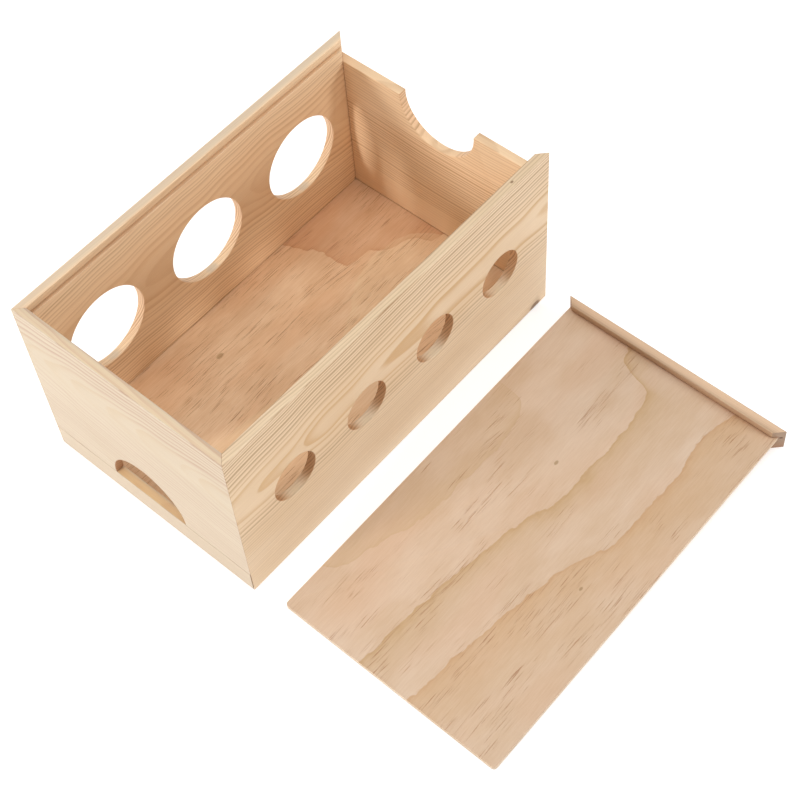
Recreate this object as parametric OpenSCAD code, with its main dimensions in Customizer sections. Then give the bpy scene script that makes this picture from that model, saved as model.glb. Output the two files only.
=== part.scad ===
// Sliding-lid pine box with round side openings.
// A frame of four mitred pine boards, closed above and below by two plywood
// panels that slide in grooves. The lid is drawn out at the far end (+X) and the
// floor at the near end (-X). Each panel carries a mitred pine rail that closes
// the frame flush. Origin: on the resting plane, at the centre of the footprint
// that the box and the lid lying beside it cover together.

/* [Box] */
// Outer length of the box along X
box_l = 300; // [200:1:450]
// Outer width of the box along Y
box_w = 179; // [130:1:300]
// Outer height of the box
box_h = 150; // [130:1:240]
// Thickness of the pine boards
wall_t = 6.6; // [5:0.1:12]

/* [Round openings] */
// Diameter of the large openings in the left wall
big_d = 65; // [20:0.5:80]
// Distance between the large openings' centres
big_pitch = 94; // [70:0.5:120]
// Number of large openings
big_count = 3; // [1:1:4]
// Diameter of the small openings in the right wall
small_d = 36; // [15:0.5:60]
// Distance between the small openings' centres
small_pitch = 66.5; // [45:0.5:90]
// Number of small openings
small_count = 4; // [1:1:6]
// Height of every opening's centre above the base
opening_z = 75.5; // [50:0.5:120]

/* [Grooves] */
// Height of the wood left outside each groove
lip_h = 5.6; // [4:0.1:10]
// Height of the grooves
groove_h = 4; // [3:0.1:6]
// Depth of the grooves
groove_depth = 2.8; // [1.5:0.1:4]

/* [Sliding panels] */
// Thickness of the three-ply panels
ply_t = 3.6; // [2.4:0.1:5.5]
// Thickness of each outer veneer
veneer_t = 0.9; // [0.4:0.1:1.5]
// Gap between a panel's long edges and the groove bottoms
panel_side_gap = 0.4; // [0.2:0.1:1]
// Gap between a panel's leading edge and the groove bottom
panel_end_gap = 0.5; // [0.2:0.1:2]
// Radius of a panel's two leading corners
panel_corner_r = 2.5; // [0.5:0.5:6]

/* [Rails] */
// Height at each end that a rail closes
rail_zone = 19.8; // [15:0.1:30]
// Running gap between a rail and the frame
rail_gap = 0.6; // [0.3:0.1:1]

/* [Finger notches] */
// Radius of the half-round notches in the end walls
notch_r = 32; // [15:0.5:40]
// Distance from a notch's centre to the board's edge
notch_inset = 1.5; // [0:0.5:5]

/* [Lid] */
// Where the lid is drawn
lid_place = "beside"; // [beside, closed]
// Gap between the box and the lid lying beside it
lid_gap = 21.9; // [5:0.1:100]
// Turn of the lid lying beside the box, in degrees
lid_turn = -0.4; // [-5:0.1:5]

/* [Hidden] */
$fn = 96;
eps = 1;
half_l = box_l / 2;
half_w = box_w / 2;
top_groove_z = box_h - lip_h - groove_h;
bottom_groove_z = lip_h;
play = (groove_h - ply_t) / 2;
core_t = ply_t - 2 * veneer_t;
panel_inset = wall_t - groove_depth + panel_side_gap;
panel_w = box_w - 2 * panel_inset;
lead_inset = wall_t - groove_depth + panel_end_gap;
glue_line = 0.05;
rail_h = rail_zone - rail_gap;
rail_l = box_w - 2 * rail_gap;
rail_groove_h = ply_t + 2 * glue_line;
tail_inset = wall_t - groove_depth + glue_line;
panel_l = box_l - lead_inset - tail_inset;
// The lid lies with its rail's foot and its panel's leading edge on the surface.
panel_drop = rail_h - lip_h - play - ply_t;
lid_tilt = atan(panel_drop / (box_l - wall_t - lead_inset));
// The box stands off the origin by half of what the lid beside it adds.
box_y = lid_place == "closed" ? 0 : (lid_gap + rail_l) / 2;
pine = [0.89, 0.79, 0.65];
pine_warm = [0.85, 0.73, 0.58];
veneer = [0.84, 0.72, 0.58];
veneer_core = [0.90, 0.82, 0.70];

// Plan of a board: outer face on y = 0, inner face on y = -wall_t, ends mitred at 45 degrees.
module mitred_plan(length) {
  polygon([
    [-length / 2, 0],
    [length / 2, 0],
    [length / 2 - wall_t, -wall_t],
    [-length / 2 + wall_t, -wall_t]
  ]);
}

module mitred_board(length, z0, height) {
  translate([0, 0, z0])
    linear_extrude(height)
      mitred_plan(length);
}

// Groove along a board's inner face.
module groove_cut(length, z0, height = groove_h) {
  translate([-length / 2, -wall_t - eps, z0])
    cube([length, groove_depth + eps, height]);
}

// A row of round openings through a board, centred on its length.
module opening_row(count, pitch, diameter) {
  for (i = [0:count - 1])
    translate([(i - (count - 1) / 2) * pitch, eps, opening_z])
      rotate([90, 0, 0])
        cylinder(h = wall_t + 2 * eps, d = diameter);
}

module notch_cut(z) {
  translate([0, eps, z])
    rotate([90, 0, 0])
      cylinder(h = wall_t + 2 * eps, r = notch_r);
}

module long_wall(count, pitch, diameter) {
  difference() {
    mitred_board(box_l, 0, box_h);
    groove_cut(box_l, top_groove_z);
    groove_cut(box_l, bottom_groove_z);
    opening_row(count, pitch, diameter);
  }
}

module left_wall() {
  color(pine_warm)
    translate([0, box_y + half_w, 0])
      long_wall(big_count, big_pitch, big_d);
}

module right_wall() {
  color(pine)
    translate([0, box_y - half_w, 0])
      rotate([0, 0, 180])
        long_wall(small_count, small_pitch, small_d);
}

// End boards are drawn with their outer face on y = 0, then turned to their end.
module at_near_end() {
  translate([-half_l, box_y, 0])
    rotate([0, 0, 90])
      children();
}

module at_far_end() {
  translate([half_l, box_y, 0])
    rotate([0, 0, -90])
      children();
}

module near_end_wall() {
  color(pine)
    at_near_end()
      difference() {
        mitred_board(box_w, rail_zone, box_h - rail_zone);
        groove_cut(box_w, top_groove_z);
        notch_cut(rail_zone + notch_inset);
      }
}

module far_end_wall() {
  color(pine_warm)
    at_far_end()
      difference() {
        mitred_board(box_w, 0, box_h - rail_zone);
        groove_cut(box_w, bottom_groove_z);
        notch_cut(box_h - rail_zone - notch_inset);
      }
}

// Rail with its groove, shortened so that it runs clear of the frame's mitres.
module rail(z0, groove_z) {
  difference() {
    mitred_board(rail_l, z0, rail_h);
    groove_cut(box_w, groove_z + play - glue_line, rail_groove_h);
  }
}

// Plan of a panel: tail in its rail's groove, leading corners rounded, lead towards -X.
module panel_plan() {
  r = panel_corner_r;
  translate([-half_l + lead_inset, box_y]) {
    translate([r, -panel_w / 2])
      square([panel_l - r, panel_w]);
    translate([0, -panel_w / 2 + r])
      square([r + eps, panel_w - 2 * r]);
    for (side = [-1, 1])
      translate([r, side * (panel_w / 2 - r)])
        circle(r);
  }
}

// One layer of a panel, from level z0 up.
module ply_layer(z0, thickness) {
  translate([0, 0, z0])
    linear_extrude(thickness)
      panel_plan();
}

// Moves the closed lid to where it is drawn.
module lid_placed() {
  if (lid_place == "closed")
    children();
  else
    translate([half_l, box_y - half_w - lid_gap, 0])
      rotate([0, 0, lid_turn])
        translate([-wall_t, -rail_l / 2, 0])
          rotate([0, -lid_tilt, 0])
            translate([wall_t - half_l, -box_y, rail_h - box_h])
              children();
}

// The floor is the lid's pattern turned over, end for end.
module floor_placed() {
  translate([0, 0, box_h])
    rotate([0, 180, 0])
      children();
}

// The lid's rail where it closes the box.
module panel_rail() {
  at_far_end()
    rail(box_h - rail_h, top_groove_z);
}

module lid_rail() {
  color(pine)
    lid_placed()
      panel_rail();
}

module lid_face_veneer() {
  color(veneer)
    lid_placed()
      ply_layer(top_groove_z + play + veneer_t + core_t, veneer_t);
}

module lid_core() {
  color(veneer_core)
    lid_placed()
      ply_layer(top_groove_z + play + veneer_t, core_t);
}

module lid_back_veneer() {
  color(veneer)
    lid_placed()
      ply_layer(top_groove_z + play, veneer_t);
}

module floor_rail() {
  color(pine)
    floor_placed()
      panel_rail();
}

// Turned over, the lowest layer of the pattern is the floor's upper face.
module floor_face_veneer() {
  color(veneer)
    floor_placed()
      ply_layer(top_groove_z + play, veneer_t);
}

module floor_core() {
  color(veneer_core)
    floor_placed()
      ply_layer(top_groove_z + play + veneer_t, core_t);
}

module floor_back_veneer() {
  color(veneer)
    floor_placed()
      ply_layer(top_groove_z + play + veneer_t + core_t, veneer_t);
}

left_wall();
right_wall();
near_end_wall();
far_end_wall();
lid_rail();
lid_face_veneer();
lid_core();
lid_back_veneer();
floor_rail();
floor_face_veneer();
floor_core();
floor_back_veneer();
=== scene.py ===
"""Looks of a pine box with a sliding plywood lid and floor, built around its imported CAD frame.

Every CAD node is kept. It gets eased edges from modifiers and a solid wood material,
in which the grain runs right through the board: faces, edges and cut rims agree.
Lengths inside materials are in millimetres, in the CAD frame.
"""

import math
from collections import namedtuple

import bpy
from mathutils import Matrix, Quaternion, Vector


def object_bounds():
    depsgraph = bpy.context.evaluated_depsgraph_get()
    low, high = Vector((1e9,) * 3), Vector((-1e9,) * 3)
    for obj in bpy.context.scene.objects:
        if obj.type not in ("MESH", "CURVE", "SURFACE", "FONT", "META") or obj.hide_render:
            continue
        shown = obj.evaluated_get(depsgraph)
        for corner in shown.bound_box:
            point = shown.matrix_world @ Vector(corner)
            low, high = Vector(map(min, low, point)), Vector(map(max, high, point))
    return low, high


MM_PER_M = 1000.0
AXES = {"X": 0, "Y": 1, "Z": 2}
WHITE = (1.0, 1.0, 1.0, 1.0)

# A Mix node has a set of sockets for each kind of data. These are the ones for colours.
MIX_FIRST = 6
MIX_SECOND = 7
MIX_RESULT = 2

# Blender's noise keeps near 0.5. This spreads it to about -1 to 1.
NOISE_SPREAD = 4.0

# How one board lay in its log. pith_across and pith_through follow the log's centre line, as
# (along, place) points. ring is the width of the first rings, and slowing how fast they narrow.
# wander is how far the rings stray from true circles. figure gives the strength of the rings,
# as (across, strength) points, and marks the dark spots, as (along, across, through, radius).
# Its reach is how far out of its gaps and corners painted shade darkens the wood.
Board = namedtuple(
    "Board",
    "slot grain across through pith_across pith_through ring slowing wander figure marks wood reach seed",
)

# A wood's colours: its two shades of early wood, its late wood cut steeply and cut flat, and
# what sawing does to its long edges and its end grain. On the rails, the lid rail's early wood paints shade
# and the floor rail's edge colour paints light.
Wood = namedtuple("Wood", "early cream late gold edge end")

# How one outer veneer was peeled: its colours, its broad bands and its small knots, which are
# (along, across, radius). Its reach of painted shade is as for a board, and crowding spreads its pores more
# widely.
Veneer = namedtuple("Veneer", "slot base pale pink streak flames marks reach crowding seed")

# One noise pattern in a wood: the size of its lumps along, across and through the wood, what it
# adds to the wood's own seed, and its levels of detail.
Pattern = namedtuple("Pattern", "sizes offset detail")

# One band of a veneer. Its sharp side follows edge: (along, across) points where by is "along",
# and (across, along) points where by is "across". It fades over fade, towards smaller values of
# the second number, or towards larger ones where fade is negative.
Flame = namedtuple("Flame", "by edge fade strength fill line")


# ---------------------------------------------------------------- material arithmetic


class Field:
    """One number in a material, at every point of a surface. Arithmetic adds Math nodes."""

    def __init__(self, tree, socket):
        self.tree = tree
        self.socket = socket

    def _math(self, operation, *values):
        node = self.tree.nodes.new("ShaderNodeMath")
        node.operation = operation
        for socket, value in zip(node.inputs, values):
            plug(self.tree, value, socket)
        return Field(self.tree, node.outputs["Value"])

    def __add__(self, other):
        return self._math("ADD", self, other)

    def __sub__(self, other):
        return self._math("SUBTRACT", self, other)

    def __rsub__(self, other):
        return self._math("SUBTRACT", other, self)

    def __mul__(self, other):
        return self._math("MULTIPLY", self, other)

    def __truediv__(self, other):
        return self._math("DIVIDE", self, other)

    __radd__ = __add__

    def floor(self):
        return self._math("FLOOR", self)

    def fraction(self):
        return self._math("FRACT", self)

    def larger(self, other):
        return self._math("MAXIMUM", self, other)

    def exp(self):
        return self._math("EXPONENT", self)

    def size(self):
        return self._math("ABSOLUTE", self)

    def length_with(self, other):
        """The distance that two perpendicular parts make together."""
        return self._math("SQRT", self * self + other * other)

    def step(self, low, high):
        """0 below low, 1 above high, smooth between them."""
        node = self.tree.nodes.new("ShaderNodeMapRange")
        node.interpolation_type = "SMOOTHSTEP"
        plug(self.tree, self, node.inputs["Value"])
        node.inputs["From Min"].default_value = low
        node.inputs["From Max"].default_value = high
        return Field(self.tree, node.outputs["Result"])


def plug(tree, value, socket):
    """Links a field or an output to a socket, or sets the socket to a constant."""
    if isinstance(value, Field):
        tree.links.new(value.socket, socket)
    elif isinstance(value, bpy.types.NodeSocket):
        tree.links.new(value, socket)
    else:
        socket.default_value = value


def noise(tree, place, pattern, seed):
    """Smooth noise of about -1 to 1 in this pattern, laid out anew by each seed."""
    scaled = tree.nodes.new("ShaderNodeVectorMath")
    scaled.operation = "DIVIDE"
    plug(tree, place, scaled.inputs[0])
    scaled.inputs[1].default_value = pattern.sizes
    texture = tree.nodes.new("ShaderNodeTexNoise")
    texture.noise_dimensions = "4D"
    plug(tree, scaled.outputs["Vector"], texture.inputs["Vector"])
    texture.inputs["W"].default_value = seed + pattern.offset
    texture.inputs["Scale"].default_value = 1.0
    texture.inputs["Detail"].default_value = pattern.detail
    return (Field(tree, texture.outputs["Fac"]) - 0.5) * NOISE_SPREAD


def noise_along(tree, value, size, seed):
    """Smooth noise of about -1 to 1 along one number."""
    texture = tree.nodes.new("ShaderNodeTexNoise")
    texture.noise_dimensions = "1D"
    plug(tree, value / size + seed, texture.inputs["W"])
    texture.inputs["Scale"].default_value = 1.0
    texture.inputs["Detail"].default_value = 1.0
    return (Field(tree, texture.outputs["Fac"]) - 0.5) * NOISE_SPREAD


def chance(tree, value):
    """A random number from 0 to 1, the same wherever value is the same."""
    texture = tree.nodes.new("ShaderNodeTexWhiteNoise")
    texture.noise_dimensions = "1D"
    plug(tree, value, texture.inputs["W"])
    return Field(tree, texture.outputs["Value"])


def curve_through(tree, value, points):
    """A smooth curve through a few (input, output) points."""
    low = points[0][0]
    high = points[-1][0]
    bottom = min(p[1] for p in points)
    top = max(p[1] for p in points)
    node = tree.nodes.new("ShaderNodeFloatCurve")
    curve = node.mapping.curves[0]
    scaled = [((x - low) / (high - low), (y - bottom) / (top - bottom)) for x, y in points]
    curve.points[0].location = scaled[0]
    curve.points[1].location = scaled[-1]
    for location in scaled[1:-1]:
        curve.points.new(*location)
    for point in curve.points:
        point.handle_type = "AUTO_CLAMPED"
    node.mapping.update()
    plug(tree, (value - low) / (high - low), node.inputs["Value"])
    return Field(tree, node.outputs["Value"]) * (top - bottom) + bottom


def mixed(tree, share, first, second, blend="MIX"):
    """first, turned to second by share."""
    node = tree.nodes.new("ShaderNodeMix")
    node.data_type = "RGBA"
    node.blend_type = blend
    plug(tree, share, node.inputs["Factor"])
    plug(tree, first, node.inputs[MIX_FIRST])
    plug(tree, second, node.inputs[MIX_SECOND])
    return node.outputs[MIX_RESULT]


def rgba(colour):
    return (*colour, 1.0)


def along_axes(tree, vector, axes):
    """A vector's parts along three named axes."""
    split = tree.nodes.new("ShaderNodeSeparateXYZ")
    tree.links.new(vector, split.inputs[0])
    return [Field(tree, split.outputs[AXES[axis]]) for axis in axes]


def grain_space(tree, axes):
    """The point in millimetres as a vector along, across and through the wood, and its parts."""
    coordinates = tree.nodes.new("ShaderNodeTexCoord")
    scaled = tree.nodes.new("ShaderNodeVectorMath")
    scaled.operation = "SCALE"
    scaled.inputs["Scale"].default_value = MM_PER_M
    tree.links.new(coordinates.outputs["Object"], scaled.inputs[0])
    parts = along_axes(tree, scaled.outputs["Vector"], axes)
    joined = tree.nodes.new("ShaderNodeCombineXYZ")
    for part, socket in zip(parts, joined.inputs):
        plug(tree, part, socket)
    return joined.outputs["Vector"], parts


def facing(tree, axes):
    """How far the surface faces along, across and through the wood, each from 0 to 1."""
    coordinates = tree.nodes.new("ShaderNodeTexCoord")
    return [part.size() for part in along_axes(tree, coordinates.outputs["Normal"], axes)]


def painted_seam_shade(tree, reach):
    """Painted shade: 1 inside narrow gaps, joints and corners, where little light gets in, and 0 in the open.
    """
    openness = tree.nodes.new("ShaderNodeAmbientOcclusion")
    openness.samples = SEAM_SAMPLES
    openness.inputs["Distance"].default_value = reach / MM_PER_M
    return 1.0 - Field(tree, openness.outputs["AO"]).step(SHUT, OPEN)


def new_material(name):
    """A material with only its shader and output, its node tree, and that shader."""
    material = bpy.data.materials.new(name)
    material.use_nodes = True
    tree = material.node_tree
    tree.nodes.clear()
    shader = tree.nodes.new("ShaderNodeBsdfPrincipled")
    output = tree.nodes.new("ShaderNodeOutputMaterial")
    tree.links.new(shader.outputs["BSDF"], output.inputs["Surface"])
    return material, tree, shader


def relief(tree, shader, height_mm):
    """Raises the surface by a height in millimetres."""
    bump = tree.nodes.new("ShaderNodeBump")
    bump.inputs["Strength"].default_value = 1.0
    bump.inputs["Distance"].default_value = 1.0 / MM_PER_M
    plug(tree, height_mm, bump.inputs["Height"])
    tree.links.new(bump.outputs["Normal"], shader.inputs["Normal"])


# ---------------------------------------------------------------- woods

# Growth rings. The log's centre line drifts over lengths of about DRIFT_ACROSS and DRIFT_THROUGH,
# and the rings' widths vary over about UNEVEN_OVER rings. A ring turns dark from LATE_STARTS of
# its width to LATE_FULL, and is pale again after LATE_ENDS. The palest ring has PALEST_RING of
# the darkest one's darkness. The cut counts as steep between FLAT_CUT and STEEP_CUT.
DRIFT_ACROSS = 70.0
DRIFT_THROUGH = 55.0
DRIFT_OFFSET = 7.3
RING_LUMPS = Pattern((45.0, 9.0, 9.0), 0.0, 1.0)
LUMP_SHARE = 0.3
UNEVEN_OVER = 2.5
UNEVEN_OFFSET = 3.1
UNEVEN_RINGS = 0.35
PALEST_RING = 0.55
LATE_STARTS = 0.35
LATE_FULL = 0.87
LATE_ENDS = 0.9
FLAT_CUT = 0.02
STEEP_CUT = 0.2

# A noise counts from nothing to all of its share over the whole of its range, or over most of it.
WHOLE_RANGE = (-1.0, 1.0)
CLOUD_RANGE = (-0.7, 0.7)

# Sawn pine. A face is end grain or an edge by how far it faces along or across the wood. Heights
# and depths are in millimetres.
PINE_CLOUDS = Pattern((110.0, 26.0, 26.0), 1.0, 2.0)
PINE_FIBRES = Pattern((28.0, 0.45, 0.45), 2.0, 2.0)
PINE_DUCTS = Pattern((5.0, 0.3, 0.3), 4.0, 1.0)
END_FACING = (0.15, 0.8)
EDGE_FACING = (0.98, 1.0)
DUCT_RANGE = (0.8, 1.2)
PINE_FIBRE_SHARE = 0.12
DUCT_SHARE = 0.2
EDGE_FADING = 0.6
END_STRENGTH = 0.9
PINE_ROUGHNESS = 0.62
LATE_POLISH = 0.12
RING_HEIGHT = 0.02
PINE_FIBRE_HEIGHT = 0.012
DUCT_DEPTH = 0.03

# Peeled veneer.
VENEER_SWAY = Pattern((110.0, 50.0, 50.0), 8.0, 1.0)
VENEER_CLOUDS = Pattern((38.0, 17.0, 17.0), 0.0, 3.0)
VENEER_TINT = Pattern((80.0, 30.0, 30.0), 5.0, 1.0)
VENEER_FIBRES = Pattern((16.0, 0.5, 0.5), 2.0, 2.0)
PORE_CROWDS = Pattern((50.0, 13.0, 13.0), 3.0, 1.0)
PORES = Pattern((20.0, 0.4, 0.4), 4.0, 1.0)
RAGGED_EDGE = Pattern((11.0, 6.0, 6.0), 6.0, 3.0)
PATCHY_FILL = Pattern((22.0, 9.0, 9.0), 9.0, 3.0)
TINT_RANGE = (-0.1, 0.8)
CROWD_RANGE = (-0.1, 0.4)
PORE_RANGE = (0.42, 0.72)
SWAY_MM = 3.5
RAGGED_MM = 2.1
PATCHY_SHARE = 0.2
MEAN_FILL = 0.9
TINT_SHARE = 0.6
VENEER_FIBRE_SHARE = 0.22
PORE_SHARE = 0.8
VENEER_ROUGHNESS = 0.6
VENEER_FIBRE_HEIGHT = 0.01
PORE_DEPTH = 0.05

# Crossed core.
CORE_ENDS = Pattern((30.0, 0.5, 0.5), 0.0, 2.0)
CORE_CLOUDS = Pattern((60.0, 12.0, 12.0), 1.0, 1.0)
CORE_END_SHARE = 0.5
CORE_ROUGHNESS = 0.75
CORE_END_HEIGHT = 0.02

# Distance along the grain counts for only SPOT_DRAW, which draws a spot out. It is fully dark
# out to SPOT_CORE of its radius.
SPOT_DRAW = 0.6
SPOT_CORE = 0.5

# How much the fibres change the roughness.
PINE_GRIT = 0.04
VENEER_GRIT = 0.05


def growth_rings(tree, board, place, parts):
    """The dark late wood from 0 to 1, sharp on its outer side, and how steeply the saw cut the rings."""
    along, across, through = parts
    aside = across - curve_through(tree, along, board.pith_across)
    aside = aside + noise_along(tree, along, DRIFT_ACROSS, board.seed) * board.wander
    deep = through - curve_through(tree, along, board.pith_through)
    deep = deep + noise_along(tree, along, DRIFT_THROUGH, board.seed + DRIFT_OFFSET) * board.wander
    radius = aside.length_with(deep)
    radius = radius + noise(tree, place, RING_LUMPS, board.seed) * (board.wander * LUMP_SHARE)
    count = radius * (radius * board.slowing + 1.0) / board.ring
    count = count + noise_along(tree, count, UNEVEN_OVER, board.seed + UNEVEN_OFFSET) * UNEVEN_RINGS
    phase = count.fraction()
    darkness = chance(tree, count.floor() + board.seed) * (1.0 - PALEST_RING) + PALEST_RING
    late = phase.step(LATE_STARTS, LATE_FULL) * (1.0 - phase.step(LATE_ENDS, 1.0)) * darkness
    steep = (aside * aside / (radius * radius)).step(FLAT_CUT, STEEP_CUT)
    return late, steep


def spotted(tree, colour, parts, marks, stain):
    """colour with a soft spot, darkened by stain and drawn out along the grain, at each mark."""
    for *middle, radius in marks:
        along, *others = [part - value for part, value in zip(parts, middle)]
        distance = along * SPOT_DRAW
        for other in others:
            distance = distance.length_with(other)
        share = 1.0 - distance.step(radius * SPOT_CORE, radius)
        colour = mixed(tree, share, colour, rgba(stain), blend="MULTIPLY")
    return colour


def pine(name, board):
    """Solid sawn pine."""
    material, tree, shader = new_material(name)
    axes = board.grain, board.across, board.through
    place, parts = grain_space(tree, axes)
    end, edge, _ = facing(tree, axes)
    end = end.step(*END_FACING)
    edge = edge.step(*EDGE_FACING)
    late, steep = growth_rings(tree, board, place, parts)
    clouds = noise(tree, place, PINE_CLOUDS, board.seed)
    fibres = noise(tree, place, PINE_FIBRES, board.seed)
    ducts = noise(tree, place, PINE_DUCTS, board.seed).step(*DUCT_RANGE)
    wood = board.wood

    early = mixed(tree, clouds.step(*CLOUD_RANGE), rgba(wood.early), rgba(wood.cream))
    dark = mixed(tree, steep.larger(end), rgba(wood.gold), rgba(wood.late))
    strength = curve_through(tree, parts[1], board.figure) * (1.0 - edge * EDGE_FADING)
    strength = strength.larger(end * END_STRENGTH)
    colour = mixed(tree, late * strength, early, dark)
    colour = mixed(tree, end, colour, rgba(wood.end), blend="MULTIPLY")
    colour = mixed(tree, edge, colour, rgba(wood.edge), blend="MULTIPLY")
    streaks = fibres.step(*WHOLE_RANGE) * PINE_FIBRE_SHARE
    colour = mixed(tree, streaks, colour, rgba(wood.late), blend="MULTIPLY")
    colour = mixed(tree, ducts * DUCT_SHARE, colour, rgba(DUCT_BROWN))
    # Painted shade browns the wood in its gaps, joints and corners, where little light gets in.
    colour = mixed(tree, painted_seam_shade(tree, board.reach) * PINE_SHADE_PAINT, colour, rgba(PAINTED_SHADE_BROWN))
    colour = spotted(tree, colour, parts, board.marks, PITCH_STAIN)
    plug(tree, colour, shader.inputs["Base Color"])
    roughness = PINE_ROUGHNESS - late * LATE_POLISH + fibres * PINE_GRIT
    plug(tree, roughness, shader.inputs["Roughness"])
    shader.inputs["Specular IOR Level"].default_value = SANDED_SHEEN
    relief(tree, shader, late * RING_HEIGHT + fibres * PINE_FIBRE_HEIGHT - ducts * DUCT_DEPTH)
    return material


def banded(tree, colour, veneer, parts, place):
    """colour under the broad bands of a peeled veneer, each with a thin dark outline on its sharp side."""
    along, across, _ = parts
    ragged = noise(tree, place, RAGGED_EDGE, veneer.seed) * RAGGED_MM
    patchy = noise(tree, place, PATCHY_FILL, veneer.seed) * PATCHY_SHARE + MEAN_FILL
    for flame in veneer.flames:
        run, rise = (along, across) if flame.by == "along" else (across, along)
        away = (curve_through(tree, run, flame.edge) - rise) * math.copysign(1.0, flame.fade) + ragged
        inside = away.step(0.0, 1.0)
        fill = inside * (away * (-1.0 / abs(flame.fade))).exp()
        line = inside * (away * (-1.0 / OUTLINE_FADE)).exp()
        colour = mixed(tree, fill * patchy * flame.strength, colour, rgba(flame.fill))
        colour = mixed(tree, line * flame.strength, colour, rgba(flame.line))
    return colour


def peeled_veneer(name, veneer):
    """The outer layer of plywood, with its broad bands and short dark pores."""
    material, tree, shader = new_material(name)
    place, parts = grain_space(tree, "XYZ")
    along, across, _ = parts
    sway = noise(tree, place, VENEER_SWAY, veneer.seed) * SWAY_MM
    swayed = tree.nodes.new("ShaderNodeCombineXYZ")
    plug(tree, along, swayed.inputs["X"])
    plug(tree, across + sway, swayed.inputs["Y"])
    clouds = noise(tree, place, VENEER_CLOUDS, veneer.seed)
    tint = noise(tree, place, VENEER_TINT, veneer.seed)
    fibres = noise(tree, place, VENEER_FIBRES, veneer.seed)
    crowd = (noise(tree, place, PORE_CROWDS, veneer.seed) + veneer.crowding).step(*CROWD_RANGE)
    pores = noise(tree, swayed.outputs["Vector"], PORES, veneer.seed).step(*PORE_RANGE) * crowd

    colour = mixed(tree, clouds.step(*CLOUD_RANGE), rgba(veneer.base), rgba(veneer.pale))
    colour = mixed(tree, tint.step(*TINT_RANGE) * TINT_SHARE, colour, rgba(veneer.pink))
    colour = banded(tree, colour, veneer, parts, place)
    streaks = fibres.step(*WHOLE_RANGE) * VENEER_FIBRE_SHARE
    colour = mixed(tree, streaks, colour, rgba(veneer.streak), blend="MULTIPLY")
    colour = mixed(tree, pores * PORE_SHARE, colour, rgba(PORE_RED))
    colour = spotted(tree, colour, parts, veneer.marks, KNOT_STAIN)
    # Painted shade browns the veneer in its gaps and corners, where little light gets in.
    colour = mixed(tree, painted_seam_shade(tree, veneer.reach) * VENEER_SHADE_PAINT, colour, rgba(PAINTED_SHADE_BROWN))
    plug(tree, colour, shader.inputs["Base Color"])
    plug(tree, VENEER_ROUGHNESS + fibres * VENEER_GRIT, shader.inputs["Roughness"])
    shader.inputs["Specular IOR Level"].default_value = SANDED_SHEEN
    relief(tree, shader, fibres * VENEER_FIBRE_HEIGHT - pores * PORE_DEPTH)
    return material


def core_veneer(name, seed):
    """The crossed middle layer, whose long edges show cut fibre ends."""
    material, tree, shader = new_material(name)
    place, _ = grain_space(tree, "YXZ")
    ends = noise(tree, place, CORE_ENDS, seed)
    clouds = noise(tree, place, CORE_CLOUDS, seed)
    colour = mixed(tree, clouds.step(*WHOLE_RANGE), rgba(CORE_LIGHT), rgba(CORE_DARK))
    streaks = ends.step(*WHOLE_RANGE) * CORE_END_SHARE
    colour = mixed(tree, streaks, colour, rgba(CORE_DARK), blend="MULTIPLY")
    plug(tree, colour, shader.inputs["Base Color"])
    plug(tree, CORE_ROUGHNESS + ends * VENEER_GRIT, shader.inputs["Roughness"])
    shader.inputs["Specular IOR Level"].default_value = RAW_SHEEN
    relief(tree, shader, ends * CORE_END_HEIGHT)
    return material


# ---------------------------------------------------------------- this box's woods

# How open a place is to the light, from 0 to 1: up to SHUT it gets all the painted shade, from OPEN on it
# gets none.
SHUT = 0.3
OPEN = 0.7
SEAM_SAMPLES = 8
# How strongly the painted shade browns pine and veneer.
PINE_SHADE_PAINT = 0.75
VENEER_SHADE_PAINT = 0.6

OUTLINE_FADE = 1.5
SANDED_SHEEN = 0.35
RAW_SHEEN = 0.3

# The colour of the painted shade in gaps, joints and corners.
PAINTED_SHADE_BROWN = (0.36, 0.155, 0.065)
DUCT_BROWN = (0.45, 0.26, 0.13)
PITCH_STAIN = (0.42, 0.35, 0.30)
PORE_RED = (0.36, 0.16, 0.07)
KNOT_STAIN = (0.66, 0.62, 0.52)
CORE_LIGHT = (0.80, 0.68, 0.53)
CORE_DARK = (0.65, 0.52, 0.38)

TAN_PINE = Wood(
    early=(0.80, 0.60, 0.395), cream=(0.84, 0.65, 0.45), late=(0.37, 0.21, 0.09), gold=(0.65, 0.40, 0.18),
    edge=(0.98, 0.98, 0.95), end=(0.70, 0.50, 0.36),
)
WARM_PINE = Wood(
    early=(0.93, 0.67, 0.425), cream=(0.955, 0.71, 0.46), late=(0.52, 0.28, 0.125), gold=(0.76, 0.475, 0.245),
    edge=(0.79, 0.85, 0.95), end=(0.93, 0.88, 0.86),
)
ORANGE_PINE = Wood(
    early=(0.895, 0.63, 0.39), cream=(0.915, 0.67, 0.425), late=(0.52, 0.285, 0.13), gold=(0.64, 0.38, 0.185),
    edge=(0.97, 0.98, 0.98), end=(0.95, 0.88, 0.84),
)
PALE_PINE = Wood(
    early=(0.655, 0.54, 0.40), cream=(0.68, 0.57, 0.425), late=(0.50, 0.30, 0.205), gold=(0.62, 0.47, 0.30),
    edge=(1.19, 1.11, 1.01), end=(0.72, 0.48, 0.34),
)
# The lid rail's darker early wood paints the shade on its sides; its lighter edge colour keeps its top face
# pale.
LID_RAIL_SHADE_PAINTED_PINE = PALE_PINE._replace(
    early=(0.53, 0.375, 0.235), cream=(0.56, 0.40, 0.255), edge=(1.42, 1.43, 1.50), end=(0.69, 0.69, 0.75)
)
# The floor rail's warmer edge colour paints warm bounced light on its top face.
FLOOR_RAIL_LIGHT_PAINTED_PINE = PALE_PINE._replace(edge=(1.26, 1.04, 0.75))

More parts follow.
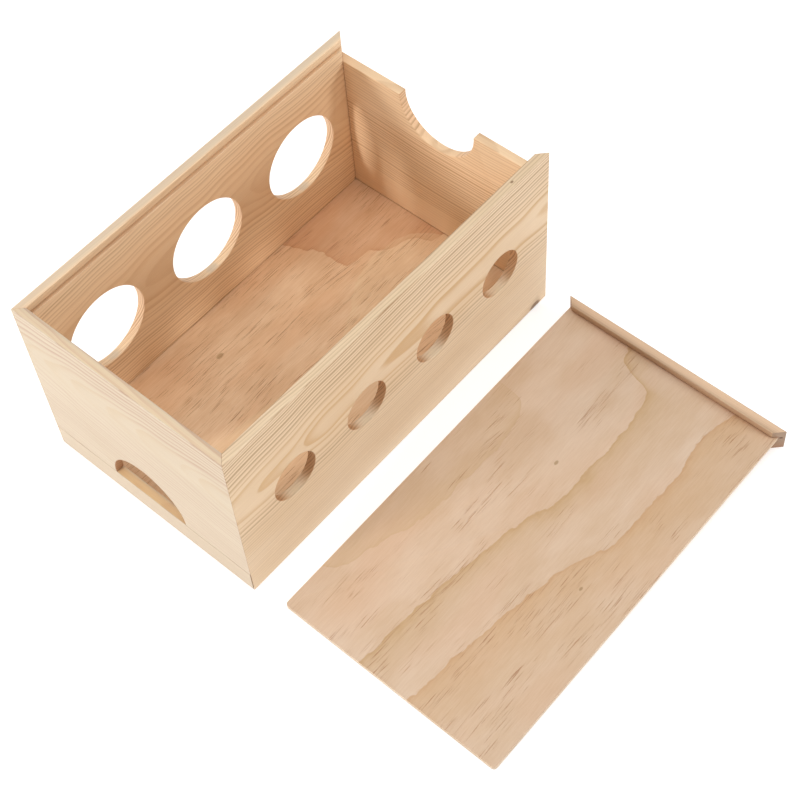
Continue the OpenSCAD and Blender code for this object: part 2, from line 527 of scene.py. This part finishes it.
BOARDS = {
    "right_wall": Board(
        "pine_pale", "X", "Z", "Y",
        pith_across=[(-150, 96), (0, 99), (150, 97)], pith_through=[(-150, 76), (0, 72), (150, 70)],
        ring=2.65, slowing=0.004, wander=0.5, figure=[(0, 0.35), (58, 0.4), (68, 0.8), (90, 0.8), (150, 1.0)],
        marks=[(138.0, 2.0, 10.35, 4.0), (116.1, 150.0, 13.7, 1.0)], wood=TAN_PINE, reach=2.0, seed=1.7,
    ),
    "left_wall": Board(
        "pine_warm", "X", "Z", "Y",
        pith_across=[(-150, 84), (0, 87), (150, 85)], pith_through=[(-150, 284), (0, 280), (150, 277)],
        ring=1.5, slowing=0.0, wander=0.45,
        figure=[(0, 0.5), (30, 0.65), (67, 0.65), (80, 0.35), (105, 0.5), (134, 0.6), (139, 0.2), (150, 0.2)],
        marks=[], wood=WARM_PINE, reach=3.8, seed=5.2,
    ),
    "near_end_wall": Board(
        "pine_pale", "Y", "Z", "X",
        pith_across=[(10, 106), (100, 108), (190, 111)], pith_through=[(10, -114), (100, -106), (190, -98)],
        ring=2.4, slowing=0.0, wander=0.8, figure=[(19, 0.5), (60, 0.5), (95, 0.4), (118, 0.75), (150, 0.8)],
        marks=[], wood=PALE_PINE, reach=2.0, seed=9.4,
    ),
    "far_end_wall": Board(
        "pine_warm", "Y", "Z", "X",
        pith_across=[(10, 332), (100, 329), (190, 331)], pith_through=[(10, 118), (100, 120), (190, 119)],
        ring=2.8, slowing=0.0, wander=0.5,
        figure=[(0, 0.15), (31, 0.2), (35, 0.75), (95, 0.85), (98, 0.5), (131, 0.5)],
        marks=[], wood=ORANGE_PINE, reach=1.0, seed=12.1,
    ),
    # The lid rail's long reach paints shade over the whole of its inner face.
    "lid_rail": Board(
        "pine_pale", "Y", "Z", "X",
        pith_across=[(-190, 70), (0, 72), (10, 72)], pith_through=[(-190, 214), (0, 216), (10, 216)],
        ring=1.5, slowing=0.0, wander=0.4, figure=[(0, 0.9), (20, 1.0)],
        marks=[(-187.1, 12.3, 146.2, 1.4)], wood=LID_RAIL_SHADE_PAINTED_PINE, reach=40.0, seed=15.8,
    ),
    "floor_rail": Board(
        "pine_pale", "Y", "Z", "X",
        pith_across=[(10, 70), (100, 72), (190, 72)], pith_through=[(10, -152), (100, -150), (190, -150)],
        ring=1.7, slowing=0.0, wander=1.0, figure=[(0, 0.35), (20, 0.4)],
        marks=[], wood=FLOOR_RAIL_LIGHT_PAINTED_PINE, reach=2.0, seed=18.3,
    ),
}

LID_FLAMES = [
    Flame(
        "along",
        [(-146, -115), (-97, -121), (-50, -128), (-27, -133), (3, -143), (14, -148), (30, -150),
         (80, -151), (105, -147), (130, -150), (143, -154)],
        fade=36.0, strength=0.85, fill=(0.61, 0.39, 0.21), line=(0.545, 0.31, 0.16),
    ),
    Flame(
        "along",
        [(-146, -76), (-110, -79), (-79, -81), (-46, -86), (4, -96), (14, -101), (66, -104),
         (104, -103), (119, -99), (125, -86), (130, -73), (139, -67), (143, -66)],
        fade=11.0, strength=0.9, fill=(0.555, 0.37, 0.19), line=(0.53, 0.335, 0.17),
    ),
    Flame(
        "along",
        [(-146, -2), (-114, -12), (-106, -22), (-71, -34), (-41, -43), (-11, -45), (19, -47),
         (44, -45), (61, -40), (66, -30), (70, -8), (143, 0)],
        fade=-28.0, strength=0.45, fill=(0.60, 0.42, 0.24), line=(0.55, 0.37, 0.20),
    ),
]
FLOOR_FLAMES = [
    Flame(
        "across",
        [(10, 160), (97, 144), (101, 132), (108, 129), (115, 122), (120, 107), (130, 97), (134, 77),
         (155, 75), (168, 69), (190, 61)],
        fade=-90.0, strength=0.8, fill=(0.64, 0.34, 0.175), line=(0.58, 0.29, 0.14),
    ),
    # This band has no dark outline and hardly fades: it makes the floor paler over its half towards the right
    # wall.
    Flame(
        "along", [(-146, 103), (-60, 99), (0, 92), (40, 100), (70, 118), (100, 124), (146, 92)],
        fade=200.0, strength=0.35, fill=(0.80, 0.60, 0.36), line=(0.80, 0.60, 0.36),
    ),
]

LID_TONES = {
    "base": (0.655, 0.475, 0.325), "pale": (0.71, 0.54, 0.40), "pink": (0.69, 0.485, 0.34),
    "streak": (0.72, 0.57, 0.45),
}
FLOOR_TONES = {
    "base": (0.74, 0.49, 0.287), "pale": (0.85, 0.61, 0.39), "pink": (0.79, 0.49, 0.275),
    "streak": (0.62, 0.33, 0.165),
}

VENEERS = {
    # Its reach of 8 paints a soft shadow on the lid along the foot of its rail.
    "lid_face_veneer": Veneer(
        "ply_face", flames=LID_FLAMES, marks=[(40.5, -84.0, 1.5), (-22.0, -152.0, 1.2)],
        reach=8.0, crowding=-0.12, seed=21.4, **LID_TONES,
    ),
    "lid_back_veneer": Veneer(
        "ply_face", flames=LID_FLAMES, marks=[], reach=2.0, crowding=-0.12, seed=24.9, **LID_TONES
    ),
    "floor_face_veneer": Veneer(
        "ply_face", flames=FLOOR_FLAMES, marks=[(-36.0, 149.8, 2.3)],
        reach=2.0, crowding=0.35, seed=27.5, **FLOOR_TONES,
    ),
    "floor_back_veneer": Veneer(
        "ply_face", flames=FLOOR_FLAMES, marks=[], reach=2.0, crowding=0.35, seed=30.2, **FLOOR_TONES
    ),
}
CORES = {"lid_core": 33.1, "floor_core": 36.6}


# ---------------------------------------------------------------- eased edges

# Sizes in metres. A mitred face is one that slants by more than MITRE_SLANT in plan, and its
# edges get MITRE_SHARE of the bevel.
BOARD_EASE = 0.0005
PLY_EASE = 0.00005
EASE_STEPS = 3
SMOOTH_ANGLE = math.radians(30)
SHARP_ANGLE = math.radians(40)
MITRE_SHARE = 0.3
MITRE_SLANT = 0.1
FLAT_ANGLE = math.radians(1)
WELD_DISTANCE = 1e-6


def geometry_group(name):
    """An empty geometry node group with its input and output nodes."""
    group = bpy.data.node_groups.new(name, "GeometryNodeTree")
    group.interface.new_socket("Geometry", in_out="INPUT", socket_type="NodeSocketGeometry")
    group.interface.new_socket("Geometry", in_out="OUTPUT", socket_type="NodeSocketGeometry")
    return group, group.nodes.new("NodeGroupInput"), group.nodes.new("NodeGroupOutput")


def math_in(group, operation, *values):
    node = group.nodes.new("ShaderNodeMath")
    node.operation = operation
    for socket, value in zip(node.inputs, values):
        plug(group, value, socket)
    return node.outputs["Value"]


def edge_weights():
    """Marks outer edges for the bevel. Mitres get less, so that their joints stay fine."""
    group, start, end = geometry_group("edge_weights")
    angle = group.nodes.new("GeometryNodeInputMeshEdgeAngle")
    outer = math_in(group, "GREATER_THAN", angle.outputs["Signed Angle"], SHARP_ANGLE)
    normal = group.nodes.new("GeometryNodeInputNormal")
    split = group.nodes.new("ShaderNodeSeparateXYZ")
    group.links.new(normal.outputs["Normal"], split.inputs[0])
    slant = math_in(group, "ABSOLUTE", math_in(group, "MULTIPLY", split.outputs["X"], split.outputs["Y"]))
    on_edges = group.nodes.new("GeometryNodeFieldOnDomain")
    on_edges.data_type = "FLOAT"
    on_edges.domain = "FACE"
    plug(group, slant, on_edges.inputs["Value"])
    mitred = math_in(group, "GREATER_THAN", on_edges.outputs["Value"], MITRE_SLANT)
    less = math_in(group, "MULTIPLY", mitred, 1.0 - MITRE_SHARE)
    weight = math_in(group, "MULTIPLY", outer, math_in(group, "SUBTRACT", 1.0, less))
    store = group.nodes.new("GeometryNodeStoreNamedAttribute")
    store.data_type = "FLOAT"
    store.domain = "EDGE"
    store.inputs["Name"].default_value = "bevel_weight_edge"
    plug(group, weight, store.inputs["Value"])
    group.links.new(start.outputs[0], store.inputs["Geometry"])
    group.links.new(store.outputs["Geometry"], end.inputs[0])
    return group


def smooth_rounds():
    """Shades curved faces smooth and keeps flat faces flat."""
    group, start, end = geometry_group("smooth_rounds")
    forget = group.nodes.new("GeometryNodeRemoveAttribute")
    forget.inputs["Name"].default_value = "custom_normal"
    faces = group.nodes.new("GeometryNodeSetShadeSmooth")
    faces.domain = "FACE"
    edges = group.nodes.new("GeometryNodeSetShadeSmooth")
    edges.domain = "EDGE"
    angle = group.nodes.new("GeometryNodeInputMeshEdgeAngle")
    soft = group.nodes.new("FunctionNodeCompare")
    soft.operation = "LESS_THAN"
    group.links.new(angle.outputs["Unsigned Angle"], soft.inputs["A"])
    soft.inputs["B"].default_value = SMOOTH_ANGLE
    group.links.new(soft.outputs["Result"], edges.inputs["Shade Smooth"])
    group.links.new(start.outputs[0], forget.inputs["Geometry"])
    group.links.new(forget.outputs["Geometry"], faces.inputs["Geometry"])
    group.links.new(faces.outputs["Geometry"], edges.inputs["Geometry"])
    group.links.new(edges.outputs["Geometry"], end.inputs[0])
    return group


def ease_edges(node, width, weights, smooth):
    """Rounds a CAD node's outer edges with modifiers. Its own mesh stays as it is."""
    weld = node.modifiers.new("weld", "WELD")
    weld.merge_threshold = WELD_DISTANCE
    flat = node.modifiers.new("flat_faces", "DECIMATE")
    flat.decimate_type = "DISSOLVE"
    flat.angle_limit = FLAT_ANGLE
    mark = node.modifiers.new("edge_weights", "NODES")
    mark.node_group = weights
    bevel = node.modifiers.new("eased_edges", "BEVEL")
    bevel.limit_method = "WEIGHT"
    bevel.width = width
    bevel.segments = EASE_STEPS
    bevel.use_clamp_overlap = False
    bevel.miter_outer = "MITER_ARC"
    shade = node.modifiers.new("smooth_rounds", "NODES")
    shade.node_group = smooth


# ---------------------------------------------------------------- stage

# Places and sizes are in metres, in the CAD frame, and powers in watts.
Lamp = namedtuple("Lamp", "name place aim size power")
LAMPS = [
    Lamp("low_left", (-2.1, 0.83, 0.715), (0.0, 0.1, 0.05), size=0.35, power=22.5),
    Lamp("overhead", (0.0, 0.0, 2.4), (0.0, 0.0, 0.0), size=1.6, power=23.5),
    Lamp("low_right", (0.71, -1.72, 0.69), (0.0, 0.05, 0.05), size=0.3, power=9.3),
]

# The camera was fitted to the photo.
CAMERA_PLACE = (-0.43937, -0.42906, 0.96679)
CAMERA_AIM = (0.018617, 0.033017, 0.0)
CAMERA_ROLL = math.radians(-5.471)
CAMERA_LENS = 76.954
SENSOR_WIDTH = 36.0
FLOOR_HALF_SIDE = 6.0
FLOOR_DROP = 0.0002
FLOOR_GREY = (0.7, 0.7, 0.7, 1.0)
FLOOR_ROUGHNESS = 0.9
FLOOR_GLOW = 0.54
ROOM_LIGHT = 0.49


def area_light(lamp):
    """A square white soft box that looks at its aim."""
    data = bpy.data.lights.new(lamp.name, "AREA")
    data.shape = "SQUARE"
    data.size = lamp.size
    data.energy = lamp.power
    light = bpy.data.objects.new(lamp.name, data)
    bpy.context.scene.collection.objects.link(light)
    light.location = lamp.place
    light.rotation_mode = "QUATERNION"
    light.rotation_quaternion = (Vector(lamp.aim) - Vector(lamp.place)).to_track_quat("-Z", "Y")


def lay_floor(level):
    """A plain white studio floor, lit a little from below like a light table."""
    material, tree, shader = new_material("studio_white")
    shader.inputs["Base Color"].default_value = FLOOR_GREY
    shader.inputs["Roughness"].default_value = FLOOR_ROUGHNESS
    shader.inputs["Emission Color"].default_value = WHITE
    shader.inputs["Emission Strength"].default_value = FLOOR_GLOW
    side = FLOOR_HALF_SIDE
    corners = [(-side, -side, level), (side, -side, level), (side, side, level), (-side, side, level)]
    mesh = bpy.data.meshes.new("studio_floor")
    mesh.from_pydata(corners, [], [(0, 1, 2, 3)])
    mesh.materials.append(material)
    floor = bpy.data.objects.new("studio_floor", mesh)
    bpy.context.scene.collection.objects.link(floor)


def light_room():
    """Even white light from all round."""
    world = bpy.data.worlds.new("studio")
    world.use_nodes = True
    background = world.node_tree.nodes["Background"]
    background.inputs["Color"].default_value = WHITE
    background.inputs["Strength"].default_value = ROOM_LIGHT
    bpy.context.scene.world = world


def place_camera():
    """The photo's camera, rolled about its own axis."""
    data = bpy.data.cameras.new("camera")
    data.lens = CAMERA_LENS
    data.sensor_width = SENSOR_WIDTH
    camera = bpy.data.objects.new("camera", data)
    bpy.context.scene.collection.objects.link(camera)
    camera.location = CAMERA_PLACE
    camera.rotation_mode = "QUATERNION"
    looking = (Vector(CAMERA_AIM) - Vector(CAMERA_PLACE)).to_track_quat("-Z", "Y")
    camera.rotation_quaternion = looking @ Quaternion((0, 0, 1), CAMERA_ROLL)
    bpy.context.scene.camera = camera


# ---------------------------------------------------------------- the scene

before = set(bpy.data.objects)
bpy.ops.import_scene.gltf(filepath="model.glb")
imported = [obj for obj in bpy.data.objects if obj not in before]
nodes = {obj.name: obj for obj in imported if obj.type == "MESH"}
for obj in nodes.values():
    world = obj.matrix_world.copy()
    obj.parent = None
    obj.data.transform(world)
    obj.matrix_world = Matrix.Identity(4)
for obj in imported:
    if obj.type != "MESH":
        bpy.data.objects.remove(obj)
cad_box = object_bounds()

weights = edge_weights()
smooth = smooth_rounds()


def dress(name, material, ease):
    """Gives a CAD node its material and its eased edges."""
    node = nodes[name]
    node.data.materials.clear()
    node.data.materials.append(material)
    ease_edges(node, ease, weights, smooth)


for name, board in BOARDS.items():
    dress(name, pine(name, board), BOARD_EASE)
for name, veneer in VENEERS.items():
    dress(name, peeled_veneer(name, veneer), PLY_EASE)
for name, seed in CORES.items():
    dress(name, core_veneer(name, seed), PLY_EASE)

lay_floor(level=cad_box[0].z - FLOOR_DROP)
light_room()
for lamp in LAMPS:
    area_light(lamp)
place_camera()

view = bpy.context.scene.view_settings
view.view_transform = "Standard"
view.look = "None"
